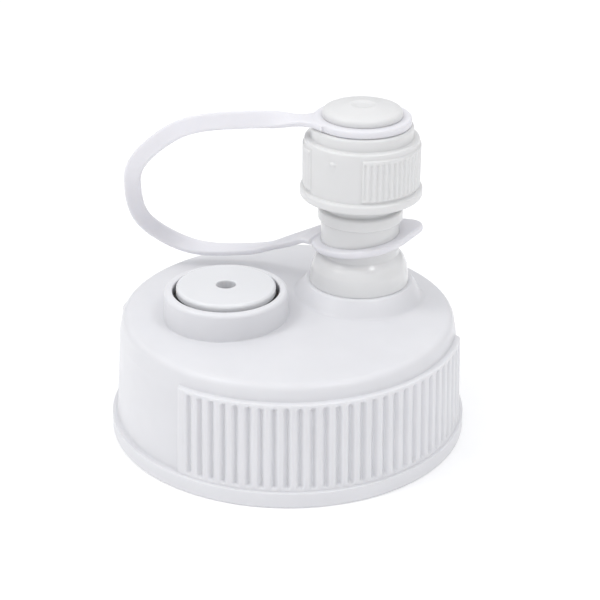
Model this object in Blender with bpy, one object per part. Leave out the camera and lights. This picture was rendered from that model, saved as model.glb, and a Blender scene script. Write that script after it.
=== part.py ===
"""Vented pour-spout closure for a wide-neck can, as an assembly of separate mouldings.

A ribbed screw cap carries a push-to-vent button on one side and a threaded pouring nozzle on the
other. A small ribbed cap closes the nozzle, and a flexible tether keeps the two together.
World frame: origin on the main cap's axis at the plane of its lower rim, +Z up, +X from the
vent towards the spout. Lengths are metres.
"""
import math

import bmesh
import bpy
from mathutils import Matrix, Vector

MM = 0.001
GAP = 0.3 * MM                      # clearance between pieces that rest on each other

# Main cap
FLANGE_RADIUS = 35.0 * MM
FLANGE_HEIGHT = 3.2 * MM
SKIRT_RADIUS_LOW = 33.9 * MM
SKIRT_RADIUS_HIGH = 32.9 * MM
SHOULDER_START = 20.3 * MM
SHOULDER_FILLET = 2.1 * MM
FILLET_RADIUS = 30.44 * MM          # of the fillet's centre, from the axis
FILLET_HEIGHT = 22.01 * MM
DOME_CENTRE = 25.3 * MM
DOME_FALL = 1.23 / 1000.0 / MM      # the dome drops by this times the radius squared
PLATE_UNDERSIDE = 22.5 * MM
SKIRT_BORE = 30.5 * MM
BORE_CHAMFER = 0.8 * MM

# Grip ribs, in two panels on each cap: grooves cut into a raised slab, angles in degrees
GROOVE_MOUTH = 0.3                  # half width, share of the pitch
GROOVE_FLOOR = 0.12
PANEL_STARTS = (-148.3, 30.3)
PANEL_SPAN = 118.0
RIB_PITCH = 4.0
FIRST_GROOVE = 5.0
PANEL_BOTTOM = 3.4 * MM
PANEL_TOP = 20.9 * MM
PANEL_RADIUS_LOW = 34.6 * MM
PANEL_TAPER = 0.6 * MM
PANEL_ROOT = 32.0 * MM
RIB_DEPTH = 0.6 * MM

# Thread inside the main cap
NECK_THREAD_CREST = 29.0 * MM
NECK_THREAD_PITCH = 6.0 * MM
NECK_THREAD_START = 5.0 * MM
NECK_THREAD_TURNS = 1.6

GASKET_INNER = 24.3 * MM
GASKET_OUTER = 29.9 * MM
GASKET_THICKNESS = 1.6 * MM

# Vent
VENT_X = -12.76 * MM
COLLAR_RADIUS = 11.9 * MM
COLLAR_BORE = 10.3 * MM
COLLAR_TOP = 30.3 * MM
POCKET_FLOOR = 24.3 * MM
GUIDE_RADIUS = 5.6 * MM
GUIDE_BORE = 3.65 * MM
GUIDE_END = 13.0 * MM
BUTTON_RADIUS = 9.75 * MM
BUTTON_TOP = 31.25 * MM
BUTTON_UNDERSIDE = 27.0 * MM
BUTTON_GROOVE_RADIUS = 8.4 * MM
STEM_RADIUS = 3.4 * MM
STEM_BORE = 1.86 * MM
BUTTON_HOLE = STEM_BORE
STEM_TOP = 28.9 * MM
STEM_END = 9.0 * MM
POPPET_RADIUS = 6.0 * MM
POPPET_TOP = 11.2 * MM
PORT_RADIUS = 0.9 * MM
PORT_HEIGHT = 14.4 * MM
SPRING_RADIUS = 6.1 * MM
SPRING_WIRE = 0.4 * MM
SPRING_TURNS = 3.5

# Spout
SPOUT_X = 15.0 * MM
BOSS_FOOT = 24.6 * MM
BOSS_RADIUS_LOW = 12.8 * MM
BOSS_RADIUS_HIGH = 10.5 * MM
BOSS_TOP = 28.0 * MM
BOSS_BORE = 6.5 * MM
NOZZLE_BORE = 4.6 * MM
NOZZLE_BASE = 28.3 * MM
NOZZLE_BASE_RADIUS = 9.8 * MM
NOZZLE_SWELL_RADIUS = 9.4 * MM
NOZZLE_SWELL = 31.3 * MM
NOZZLE_CREASE_RADIUS = 8.7 * MM
NOZZLE_CREASE = 33.0 * MM
NECK_BOTTOM = 34.2 * MM
NECK_RADIUS = 7.66 * MM
BEAD_RADIUS = 8.25 * MM
BEAD_LOW = 41.2 * MM
BEAD_HIGH = 43.6 * MM
UNDERCUT_RADIUS = 7.3 * MM
CORE_RADIUS = 6.35 * MM
CORE_START = 46.0 * MM
NOZZLE_TOP = 56.2 * MM
SPIGOT_RADIUS = 6.2 * MM
SPIGOT_END = 17.4 * MM
SPOUT_THREAD_CREST = 7.85 * MM
SPOUT_THREAD_PITCH = 3.0 * MM
SPOUT_THREAD_START = 46.8 * MM
SPOUT_THREAD_TURNS = 2.7
NUT_TOP = PLATE_UNDERSIDE - GAP
NUT_HEIGHT = 4.0 * MM
NUT_RADIUS = 8.9 * MM
NUT_BORE = 6.5 * MM

# Small cap
CAP_BOTTOM = 46.2 * MM
CAP_FLANGE_RADIUS = 11.85 * MM
CAP_FLANGE_TOP = 47.9 * MM
CAP_RADIUS = 11.0 * MM
CAP_BORE = 8.2 * MM
CAP_CEILING = 57.8 * MM
CAP_WALL_TOP = 57.9 * MM
CAP_TIER_RADIUS = 9.85 * MM
CAP_TIER_TOP = 60.1 * MM
CAP_GROOVE_RADIUS = 6.4 * MM
KNOB_RADIUS = 7.65 * MM
KNOB_BOTTOM = 62.1 * MM
KNOB_EDGE = 63.1 * MM
KNOB_CROWN_RADIUS = 6.2 * MM
KNOB_CROWN = 63.65 * MM
KNOB_TOP = 64.2 * MM
CAP_PANEL_BOTTOM = 48.6 * MM
CAP_PANEL_TOP = 56.6 * MM
CAP_PANEL_RADIUS = 11.35 * MM
CAP_PANEL_ROOT = 10.4 * MM
CAP_PANEL_STARTS = (-113.0, 67.0)
CAP_PANEL_SPAN = 120.0
CAP_RIB_PITCH = 6.0
CAP_FIRST_GROOVE = 3.0
CAP_RIB_DEPTH = 0.35 * MM
CAP_THREAD_CREST = 6.9 * MM
CAP_THREAD_START = 48.3 * MM
CAP_THREAD_TURNS = 1.9
LINER_RADIUS = 7.7 * MM
LINER_THICKNESS = 1.0 * MM

# Tether
TETHER_THICKNESS = 1.4 * MM
NECK_RING_HEIGHT = 36.85 * MM
NECK_RING_INNER = 8.2 * MM
NECK_RING_OUTER = 9.5 * MM
NECK_RING_TILT = 6.5                # degrees, low on the strap's side
NECK_RING_LOW_SIDE = 148.0          # degrees
TAB_DIRECTION = -6.5                # degrees
TAB_CENTRE = 9.2 * MM
TAB_RADIUS = 3.6 * MM
CAP_RING_HEIGHT = 61.1 * MM
CAP_RING_INNER = 6.9 * MM
CAP_RING_OUTER = 9.4 * MM
STRAP_THICKNESS = 1.2 * MM
STRAP_WIDTH = 3.4 * MM
STRAP_ROOT_WIDTH = 7.5 * MM
STRAP_FLARE = 0.09                  # share of the strap's length at each end
STRAP_SECTIONS = 40
STRAP_FACING = (-0.3313, -0.8410, 0.4278)   # where its broad side looks round the loop
# Route of the strap's centre line, from the neck ring round to the cap ring
STRAP_ROUTE_MM = (
    (7.5, 7.1, 35.8),
    (3.4, 12.0, 32.6),
    (-0.9, 19.2, 29.0),
    (-11.1, 26.0, 28.4),
    (-20.35, 27.78, 34.7),
    (-23.4, 25.4, 43.5),
    (-23.0, 20.3, 51.2),
    (-16.6, 13.0, 59.0),
    (-6.5, 8.0, 61.0),
    (5.8, 2.8, 61.1),
)

FINE = 96
ROUND = 36
SMALL = 28


def clear_scene():
    for thing in list(bpy.data.objects):
        bpy.data.objects.remove(thing, do_unlink=True)


def material(name, colour, roughness):
    made = bpy.data.materials.new(name)
    made.use_nodes = True
    shader = made.node_tree.nodes["Principled BSDF"]
    shader.inputs["Base Color"].default_value = (*colour, 1.0)
    shader.inputs["Roughness"].default_value = roughness
    shader.inputs["Metallic"].default_value = 0.0
    made.diffuse_color = (*colour, 1.0)
    return made


def steel(name):
    made = material(name, (0.62, 0.63, 0.65), 0.3)
    made.node_tree.nodes["Principled BSDF"].inputs["Metallic"].default_value = 1.0
    return made


def finish(bm, name, look=None, place=(0.0, 0.0, 0.0)):
    """Turns a bmesh into an object in the scene, with smooth shading up to 30 degrees."""
    bmesh.ops.remove_doubles(bm, verts=bm.verts, dist=0.001 * MM)
    bmesh.ops.recalc_face_normals(bm, faces=bm.faces)
    mesh = bpy.data.meshes.new(name)
    bm.to_mesh(mesh)
    bm.free()
    mesh.shade_smooth()
    mesh.set_sharp_from_angle(angle=math.radians(30.0))
    made = bpy.data.objects.new(name, mesh)
    made.location = place
    bpy.context.scene.collection.objects.link(made)
    if look is not None:
        mesh.materials.append(look)
    return made


def turned(name, outline, steps, look=None, place=(0.0, 0.0, 0.0), phase=0.0):
    """A solid of revolution about its own Z axis; outline is a closed loop of (radius, height).

    phase, in degrees, turns the facets, so that those of two joined solids don't line up."""
    bm = bmesh.new()
    across, along = math.cos(math.radians(phase)), math.sin(math.radians(phase))
    verts = [bm.verts.new((radius * across, radius * along, height)) for radius, height in outline]
    edges = [bm.edges.new((verts[i], verts[(i + 1) % len(verts)])) for i in range(len(verts))
             if max(outline[i][0], outline[(i + 1) % len(verts)][0]) > 0.0]
    bmesh.ops.spin(bm, geom=verts + edges, axis=(0, 0, 1), cent=(0, 0, 0),
                   angle=math.tau, steps=steps, use_merge=True)
    return finish(bm, name, look, place)


def arc(centre, radius, start, end, points):
    """Points (radius, height) along an arc; angles in degrees from the outward direction."""
    turns = [math.radians(start + (end - start) * i / (points - 1)) for i in range(points)]
    return [(centre[0] + radius * math.cos(t), centre[1] + radius * math.sin(t)) for t in turns]


def tube(inner, outer, low, high):
    return [(inner, low), (outer, low), (outer, high), (inner, high)]


def helical_ridge(name, root, crest, start, pitch, turns, steps, place, base=1.7, tip=0.7):
    """A thread ridge from radius root to crest; its ends run out into the wall.

    base and tip are the ridge's widths in millimetres at the root and at the crest."""
    bm = bmesh.new()
    count = int(turns * steps)
    rings = []
    for i in range(count + 1):
        angle = math.tau * i / steps
        run = min(i, count - i) / (steps / 8.0)
        depth = root + (crest - root) * max(0.02, min(1.0, run))
        centre = start + pitch * i / steps
        section = []
        for radius, half in ((root, -base / 2), (depth, -tip / 2), (depth, tip / 2), (root, base / 2)):
            point = (radius * math.cos(angle), radius * math.sin(angle), centre + half * MM)
            section.append(bm.verts.new(point))
        rings.append(section)
    for low, high in zip(rings, rings[1:]):
        for k in range(4):
            bm.faces.new((low[k], low[(k + 1) % 4], high[(k + 1) % 4], high[k]))
    bm.faces.new(rings[0])
    bm.faces.new(rings[-1])
    return finish(bm, name, None, place)


def ribbed_panel(name, start, span, lead, pitch, root, crest, depth, low, high, taper, place):
    """A curved slab with upright grooves on its outside, from angle start on, in degrees.

    lead is the angle from each end of the slab to the nearest groove's middle."""
    outline = [(start, crest)]
    for i in range(round((span - 2.0 * lead) / pitch) + 1):
        middle = start + lead + pitch * i
        for share, radius in ((-GROOVE_MOUTH, crest), (-GROOVE_FLOOR, crest - depth),
                              (GROOVE_FLOOR, crest - depth), (GROOVE_MOUTH, crest)):
            outline.append((middle + share * pitch, radius))
    last = start + span
    outline.append((last, crest))
    inner_points = 16
    for i in range(inner_points + 1):
        outline.append((last + (start - last) * i / inner_points, root))
    bm = bmesh.new()
    levels = []
    for height, shrink in ((low, 0.0), (high, taper)):
        ring = []
        for angle, radius in outline:
            reach = radius if radius == root else radius - shrink
            turn = math.radians(angle)
            ring.append(bm.verts.new((reach * math.cos(turn), reach * math.sin(turn), height)))
        levels.append(ring)
    count_points = len(outline)
    for k in range(count_points):
        after = (k + 1) % count_points
        bm.faces.new((levels[0][k], levels[0][after], levels[1][after], levels[1][k]))
    bm.faces.new(levels[0])
    bm.faces.new(levels[1])
    return finish(bm, name, None, place)


def combine(target, tool, operation):
    """Adds a Boolean modifier to target and hides the tool object."""
    tool.hide_render = True
    tool.display_type = 'WIRE'
    tool.name = target.name + "_tool_" + tool.name
    cut = target.modifiers.new(tool.name, 'BOOLEAN')
    cut.operation = operation
    cut.solver = 'EXACT'
    cut.object = tool


def grouped(name, *tools):
    """One tool object out of several that don't touch, so that they cut in a single step."""
    bm = bmesh.new()
    for tool in tools:
        bpy.context.view_layer.update()
        start = len(bm.verts)
        bm.from_mesh(tool.data)
        bm.verts.ensure_lookup_table()
        bmesh.ops.transform(bm, matrix=tool.matrix_world, verts=bm.verts[start:])
        bpy.data.objects.remove(tool, do_unlink=True)
    return finish(bm, name)


def join(target, *tools):
    for tool in tools:
        combine(target, tool, 'UNION')


def cut(target, *tools):
    for tool in tools:
        combine(target, tool, 'DIFFERENCE')


def build_main_cap(look):
    fillet = arc((FILLET_RADIUS, FILLET_HEIGHT), SHOULDER_FILLET, 10.6, 83.5, 6)
    dome = [(radius * MM, DOME_CENTRE - DOME_FALL * (radius * MM) ** 2) for radius in (27.5, 14.0, 0.0)]
    lip = 0.5 * MM
    outline = [
        (SKIRT_BORE + BORE_CHAMFER, 0.0),
        (FLANGE_RADIUS - lip, 0.0),
        (FLANGE_RADIUS, lip),
        (FLANGE_RADIUS, FLANGE_HEIGHT - lip),
        (FLANGE_RADIUS - lip, FLANGE_HEIGHT),
        (SKIRT_RADIUS_LOW, FLANGE_HEIGHT),
        (SKIRT_RADIUS_HIGH, SHOULDER_START),
        *fillet,
        *dome,
        (0.0, PLATE_UNDERSIDE),
        (SKIRT_BORE, PLATE_UNDERSIDE),
        (SKIRT_BORE, BORE_CHAMFER),
    ]
    cap = turned("main_cap", outline, FINE, look)
    vent = (VENT_X, 0.0, 0.0)
    spout = (SPOUT_X, 0.0, 0.0)
    collar_root = PLATE_UNDERSIDE + 0.7 * MM
    guide_root = PLATE_UNDERSIDE + 1.3 * MM
    boss_root = PLATE_UNDERSIDE + 0.9 * MM
    for start in PANEL_STARTS:
        panel = ribbed_panel("grip", start, PANEL_SPAN, FIRST_GROOVE, RIB_PITCH, PANEL_ROOT,
                             PANEL_RADIUS_LOW, RIB_DEPTH, PANEL_BOTTOM, PANEL_TOP, PANEL_TAPER,
                             (0.0, 0.0, 0.0))
        join(cap, panel)
    collar = turned("collar", [(0.0, collar_root), (COLLAR_RADIUS, collar_root),
                               (COLLAR_RADIUS, COLLAR_TOP - 0.4 * MM),
                               (COLLAR_RADIUS - 0.4 * MM, COLLAR_TOP), (0.0, COLLAR_TOP)],
                    ROUND, place=vent, phase=1.3)
    guide = turned("guide", [(0.0, GUIDE_END), (GUIDE_RADIUS, GUIDE_END),
                             (GUIDE_RADIUS, guide_root), (0.0, guide_root)],
                   SMALL, place=vent, phase=2.1)
    boss = turned("boss", [(0.0, boss_root), (BOSS_RADIUS_LOW, boss_root),
                           (BOSS_RADIUS_LOW, BOSS_FOOT), (BOSS_RADIUS_HIGH, BOSS_TOP),
                           (0.0, BOSS_TOP)], ROUND, place=spout, phase=1.7)
    thread = helical_ridge("neck_thread", SKIRT_BORE + 0.5 * MM, NECK_THREAD_CREST, NECK_THREAD_START,
                           NECK_THREAD_PITCH, NECK_THREAD_TURNS, FINE // 2, (0.0, 0.0, 0.0), 3.2, 1.2)
    join(cap, collar, guide, boss, thread)
    above = COLLAR_TOP + 1.0 * MM
    vent_hole = turned("vent_hole", [(0.0, GUIDE_END - 1.0 * MM), (GUIDE_BORE, GUIDE_END - 1.0 * MM),
                                     (GUIDE_BORE, POCKET_FLOOR), (COLLAR_BORE, POCKET_FLOOR),
                                     (COLLAR_BORE, above), (0.0, above)],
                       ROUND, place=vent, phase=1.3)
    spout_hole = turned("spout_hole", [(0.0, PLATE_UNDERSIDE - 2.0 * MM),
                                       (BOSS_BORE, PLATE_UNDERSIDE - 2.0 * MM),
                                       (BOSS_BORE, above), (0.0, above)],
                        ROUND, place=spout, phase=1.7)
    cut(cap, grouped("holes", vent_hole, spout_hole))


def build_gasket(look):
    top = PLATE_UNDERSIDE - GAP
    turned("neck_gasket", tube(GASKET_INNER, GASKET_OUTER, top - GASKET_THICKNESS, top), FINE, look)


def build_vent(white, rubber, metal):
    place = (VENT_X, 0.0, 0.0)
    round_top = arc((BUTTON_RADIUS - 0.9 * MM, BUTTON_TOP - 0.9 * MM), 0.9 * MM, 0.0, 80.0, 4)
    hub_radius = 4.9 * MM
    socket_radius = STEM_RADIUS + GAP
    web_underside = STEM_TOP + GAP
    skirt_inner = 7.3 * MM
    turned("vent_button", [
        (BUTTON_HOLE, BUTTON_TOP + 0.05 * MM),
        (BUTTON_HOLE, web_underside),
        (socket_radius, web_underside),
        (socket_radius, BUTTON_UNDERSIDE + 0.2 * MM),
        (hub_radius, BUTTON_UNDERSIDE + 0.2 * MM),
        (hub_radius, web_underside),
        (skirt_inner, web_underside),
        (skirt_inner, BUTTON_UNDERSIDE),
        (BUTTON_RADIUS, BUTTON_UNDERSIDE),
        (BUTTON_RADIUS, BUTTON_UNDERSIDE + 0.8 * MM),
        (BUTTON_GROOVE_RADIUS, BUTTON_UNDERSIDE + 0.8 * MM),
        (BUTTON_GROOVE_RADIUS, BUTTON_UNDERSIDE + 2.6 * MM),
        (BUTTON_RADIUS, BUTTON_UNDERSIDE + 2.6 * MM),
        *round_top,
    ], ROUND, white, place)
    ring_low = BUTTON_UNDERSIDE + 1.1 * MM
    turned("vent_wiper_ring", tube(BUTTON_GROOVE_RADIUS + GAP, COLLAR_BORE - GAP,
                                   ring_low, ring_low + 1.2 * MM), ROUND, rubber, place)
    stem = turned("vent_stem", [
        (STEM_BORE, STEM_END + 2.0 * MM),
        (0.0, STEM_END + 2.0 * MM),
        (0.0, STEM_END),
        (POPPET_RADIUS, STEM_END),
        (POPPET_RADIUS, POPPET_TOP),
        (STEM_RADIUS, POPPET_TOP),
        (STEM_RADIUS, STEM_TOP),
        (STEM_BORE, STEM_TOP),
    ], SMALL, white, place)
    port = turned("port", [(0.0, -5.0 * MM), (PORT_RADIUS, -5.0 * MM), (PORT_RADIUS, 5.0 * MM),
                           (0.0, 5.0 * MM)], 16, place=(VENT_X, 0.0, PORT_HEIGHT))
    port.rotation_euler = (math.radians(90.0), 0.0, 0.0)
    cut(stem, port)
    seal_low = POPPET_TOP + GAP
    turned("vent_valve_seal", tube(STEM_RADIUS + GAP, POPPET_RADIUS, seal_low, GUIDE_END - GAP),
           SMALL, rubber, place)
    build_spring(metal, place)


def build_spring(look, place):
    """A short coil between the pocket floor and the button, as a tube with closed ends."""
    low = POCKET_FLOOR + GAP + SPRING_WIRE
    high = STEM_TOP - SPRING_WIRE
    steps = 16
    sides = 6
    count = int(SPRING_TURNS * steps)
    bm = bmesh.new()
    rings = []
    for i in range(count + 1):
        angle = math.tau * i / steps
        share = i / count
        height = low + (high - low) * share
        ring = []
        for k in range(sides):
            turn = math.tau * k / sides
            reach = SPRING_RADIUS + SPRING_WIRE * math.cos(turn)
            lift = SPRING_WIRE * math.sin(turn)
            ring.append(bm.verts.new((reach * math.cos(angle), reach * math.sin(angle), height + lift)))
        rings.append(ring)
    for low_ring, high_ring in zip(rings, rings[1:]):
        for k in range(sides):
            after = (k + 1) % sides
            bm.faces.new((low_ring[k], low_ring[after], high_ring[after], high_ring[k]))
    bm.faces.new(rings[0])
    bm.faces.new(rings[-1])
    finish(bm, "vent_spring", look, place)


def build_nozzle(white, rubber):
    place = (SPOUT_X, 0.0, 0.0)
    groove_inner = 8.0 * MM
    groove_outer = 9.2 * MM
    groove_top = NOZZLE_BASE + 1.3 * MM
    nozzle = turned("spout_nozzle", [
        (NOZZLE_BORE, SPIGOT_END),
        (SPIGOT_RADIUS, SPIGOT_END),
        (SPIGOT_RADIUS, NOZZLE_BASE),
        (groove_inner, NOZZLE_BASE),
        (groove_inner, groove_top),
        (groove_outer, groove_top),
        (groove_outer, NOZZLE_BASE),
        (NOZZLE_BASE_RADIUS, NOZZLE_BASE),
        (NOZZLE_BASE_RADIUS - 0.1 * MM, NOZZLE_BASE + 1.6 * MM),
        (NOZZLE_SWELL_RADIUS, NOZZLE_SWELL),
        (NOZZLE_CREASE_RADIUS, NOZZLE_CREASE),
        (NECK_RADIUS, NECK_BOTTOM),
        (NECK_RADIUS, BEAD_LOW),
        (BEAD_RADIUS, BEAD_LOW + 0.6 * MM),
        (BEAD_RADIUS, BEAD_HIGH - 0.6 * MM),
        (UNDERCUT_RADIUS, BEAD_HIGH),
        (UNDERCUT_RADIUS, CORE_START - 0.4 * MM),
        (CORE_RADIUS, CORE_START),
        (CORE_RADIUS, NOZZLE_TOP - 0.5 * MM),
        (CORE_RADIUS - 0.5 * MM, NOZZLE_TOP),
        (NOZZLE_BORE, NOZZLE_TOP),
    ], ROUND, white, place)
    thread = helical_ridge("spout_thread", CORE_RADIUS - 0.4 * MM, SPOUT_THREAD_CREST,
                           SPOUT_THREAD_START, SPOUT_THREAD_PITCH, SPOUT_THREAD_TURNS, SMALL, place)
    join(nozzle, thread)
    turned("nozzle_seal_ring", [
        (point[0], point[1]) for point in arc((8.6 * MM, NOZZLE_BASE + 0.5 * MM), 0.42 * MM, 0.0, 315.0, 8)
    ], ROUND, rubber, place)
    bm = bmesh.new()
    bmesh.ops.create_cone(bm, cap_ends=True, segments=6, radius1=NUT_RADIUS, radius2=NUT_RADIUS,
                          depth=NUT_HEIGHT)
    bmesh.ops.translate(bm, verts=bm.verts, vec=(0.0, 0.0, NUT_TOP - NUT_HEIGHT / 2.0))
    nut = finish(bm, "nozzle_lock_nut", white, place)
    hole = turned("nut_hole", [(0.0, NUT_TOP - NUT_HEIGHT - MM), (NUT_BORE, NUT_TOP - NUT_HEIGHT - MM),
                               (NUT_BORE, NUT_TOP + MM), (0.0, NUT_TOP + MM)], SMALL, place=place)
    cut(nut, hole)


def build_spout_cap(white, soft):
    place = (SPOUT_X, 0.0, 0.0)
    tier_round = arc((CAP_TIER_RADIUS - 0.6 * MM, CAP_TIER_TOP - 0.6 * MM), 0.6 * MM, 0.0, 90.0, 3)
    wall_round = arc((CAP_RADIUS - 0.7 * MM, CAP_WALL_TOP - 0.7 * MM), 0.7 * MM, 0.0, 90.0, 3)
    knob_round = arc((KNOB_RADIUS - 0.6 * MM, KNOB_EDGE - 0.4 * MM), 0.6 * MM, 0.0, 70.0, 4)
    dimple = 0.4 * MM
    cap = turned("spout_cap", [
        (CAP_BORE + 0.4 * MM, CAP_BOTTOM),
        (CAP_FLANGE_RADIUS - 0.3 * MM, CAP_BOTTOM),
        (CAP_FLANGE_RADIUS, CAP_BOTTOM + 0.4 * MM),
        (CAP_FLANGE_RADIUS, CAP_FLANGE_TOP - 0.4 * MM),
        (CAP_FLANGE_RADIUS - 0.3 * MM, CAP_FLANGE_TOP),
        (CAP_RADIUS, CAP_FLANGE_TOP + 0.3 * MM),
        *wall_round,
        (CAP_TIER_RADIUS, CAP_WALL_TOP + 0.2 * MM),
        *tier_round,
        (CAP_GROOVE_RADIUS, CAP_TIER_TOP),
        (CAP_GROOVE_RADIUS, KNOB_BOTTOM),
        (KNOB_RADIUS - 0.2 * MM, KNOB_BOTTOM),
        *knob_round,
        (KNOB_CROWN_RADIUS, KNOB_CROWN),
        (2.4 * MM, KNOB_TOP),
        (1.6 * MM, KNOB_TOP),
        (1.0 * MM, KNOB_TOP - dimple),
        (0.0, KNOB_TOP - dimple),
        (0.0, CAP_CEILING),
        (CAP_BORE, CAP_CEILING),
        (CAP_BORE, CAP_BOTTOM + 0.4 * MM),
    ], ROUND, white, place)
    for start in CAP_PANEL_STARTS:
        panel = ribbed_panel("cap_grip", start, CAP_PANEL_SPAN, CAP_FIRST_GROOVE, CAP_RIB_PITCH,
                             CAP_PANEL_ROOT, CAP_PANEL_RADIUS, CAP_RIB_DEPTH, CAP_PANEL_BOTTOM,
                             CAP_PANEL_TOP, 0.1 * MM, place)
        join(cap, panel)
    thread = helical_ridge("cap_thread", CAP_BORE + 0.4 * MM, CAP_THREAD_CREST, CAP_THREAD_START,
                           SPOUT_THREAD_PITCH, CAP_THREAD_TURNS, SMALL, place)
    join(cap, thread)
    liner_top = CAP_CEILING - GAP
    liner_low = liner_top - LINER_THICKNESS
    turned("spout_cap_liner", [(0.0, liner_low), (LINER_RADIUS, liner_low), (LINER_RADIUS, liner_top),
                               (0.0, liner_top)], SMALL, soft, place)


def build_neck_ring(look):
    half = TETHER_THICKNESS / 2.0
    ring = turned("tether_neck_ring", tube(NECK_RING_INNER, NECK_RING_OUTER, -half, half), ROUND, look)
    bm = bmesh.new()
    spread = math.acos((NECK_RING_OUTER - TAB_RADIUS) / TAB_CENTRE)
    hidden = (NECK_RING_INNER + NECK_RING_OUTER) / 2.0
    outline = []
    for i in range(11):
        turn = spread * (i / 5.0 - 1.0)
        outline.append((TAB_CENTRE + TAB_RADIUS * math.cos(turn), TAB_RADIUS * math.sin(turn)))
    for i in range(9):
        turn = spread * (1.0 - i / 4.0)
        outline.append((hidden * math.cos(turn), hidden * math.sin(turn)))
    face = bm.faces.new([bm.verts.new((x, y, -half * 0.9)) for x, y in outline])
    grown = bmesh.ops.extrude_face_region(bm, geom=[face])
    risen = [item for item in grown["geom"] if isinstance(item, bmesh.types.BMVert)]
    bmesh.ops.translate(bm, verts=risen, vec=(0.0, 0.0, half * 1.8))
    tab = finish(bm, "tab")
    tilt_axis = Vector((-math.sin(math.radians(NECK_RING_LOW_SIDE)),
                        math.cos(math.radians(NECK_RING_LOW_SIDE)), 0.0))
    tilt = Matrix.Rotation(math.radians(NECK_RING_TILT), 4, tilt_axis)
    stand = Matrix.Translation((SPOUT_X, 0.0, NECK_RING_HEIGHT))
    ring.matrix_world = stand @ tilt
    tab.matrix_world = stand @ tilt @ Matrix.Rotation(math.radians(TAB_DIRECTION), 4, 'Z')
    join(ring, tab)


def build_cap_ring(look):
    half = TETHER_THICKNESS / 2.0
    turned("tether_cap_ring", tube(CAP_RING_INNER, CAP_RING_OUTER, CAP_RING_HEIGHT - half,
                                   CAP_RING_HEIGHT + half), ROUND, look, (SPOUT_X, 0.0, 0.0))


def spline_point(points, share):
    """A point on the Catmull-Rom curve through points, share from 0 to 1."""
    spans = len(points) - 1
    place = min(share * spans, spans - 1e-9)
    i = int(place)
    t = place - i
    before = points[i - 1] if i > 0 else points[0] * 2.0 - points[1]
    after = points[i + 2] if i + 2 <= spans else points[-1] * 2.0 - points[-2]
    here, there = points[i], points[i + 1]
    return 0.5 * (2.0 * here + (there - before) * t
                  + (2.0 * before - 5.0 * here + 4.0 * there - after) * t * t
                  + (3.0 * here - before - 3.0 * there + after) * t ** 3)


def smoothstep(low, high, value):
    t = max(0.0, min(1.0, (value - low) / (high - low)))
    return t * t * (3.0 - 2.0 * t)


def build_strap(look):
    """A flat strip that lies level at both rings and turns to face outward round its loop."""
    route = [Vector(point) * MM for point in STRAP_ROUTE_MM]
    facing = Vector(STRAP_FACING)
    origin = Vector((SPOUT_X, 0.0, 0.0))
    bm = bmesh.new()
    rings = []
    for i in range(STRAP_SECTIONS + 1):
        share = i / STRAP_SECTIONS
        centre = spline_point(route, share)
        ahead = spline_point(route, min(1.0, share + 0.004)) - spline_point(route, max(0.0, share - 0.004))
        ahead.normalize()
        weight = 0.18 * smoothstep(0.0, 0.12, share) + 0.82 * smoothstep(0.25, 0.45, share)
        weight *= 1.0 - smoothstep(0.91, 1.0, share)
        normal = facing * weight + Vector((0.0, 0.0, 1.0 - weight))
        normal -= ahead * normal.dot(ahead)
        normal.normalize()
        across = normal.cross(ahead)
        from_end = min(share, 1.0 - share)
        widening = 1.0 - smoothstep(0.0, STRAP_FLARE, from_end)
        width = STRAP_WIDTH + (STRAP_ROOT_WIDTH - STRAP_WIDTH) * widening
        ring = []
        for side, lift in ((-1, -1), (1, -1), (1, 1), (-1, 1)):
            corner = centre + across * (side * width / 2.0) + normal * (lift * STRAP_THICKNESS / 2.0)
            ring.append(bm.verts.new(corner - origin))
        rings.append(ring)
    for low_ring, high_ring in zip(rings, rings[1:]):
        for k in range(4):
            after = (k + 1) % 4
            bm.faces.new((low_ring[k], low_ring[after], high_ring[after], high_ring[k]))
    bm.faces.new(rings[0])
    bm.faces.new(rings[-1])
    bmesh.ops.triangulate(bm, faces=bm.faces)
    finish(bm, "tether_strap", look, origin)


def main():
    clear_scene()
    white = material("white_polypropylene", (0.82, 0.83, 0.84), 0.35)
    glossy = material("white_glossy_plastic", (0.80, 0.81, 0.82), 0.22)
    soft = material("white_soft_polyethylene", (0.78, 0.78, 0.80), 0.45)
    foam = material("grey_seal_foam", (0.55, 0.56, 0.57), 0.8)
    rubber = material("black_rubber", (0.015, 0.015, 0.016), 0.6)
    build_main_cap(white)
    build_gasket(foam)
    build_vent(white, rubber, steel("spring_steel"))
    build_nozzle(glossy, rubber)
    build_spout_cap(white, foam)
    build_neck_ring(soft)
    build_cap_ring(soft)
    build_strap(soft)


main()
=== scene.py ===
"""Looks of the vented pour-spout closure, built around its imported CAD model.

Every moulding gets a fine surface of its own: rounded edges, grip ribs, threads and fillets are
real geometry, and the plastics, rubber, foam and steel are procedural. Shapes are worked out in
millimetres about the axes that the CAD nodes give, and scaled to metres when a mesh is made.
"""

import math

import bmesh
import bpy
from mathutils import Matrix, Vector
from mathutils.geometry import delaunay_2d_cdt


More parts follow.
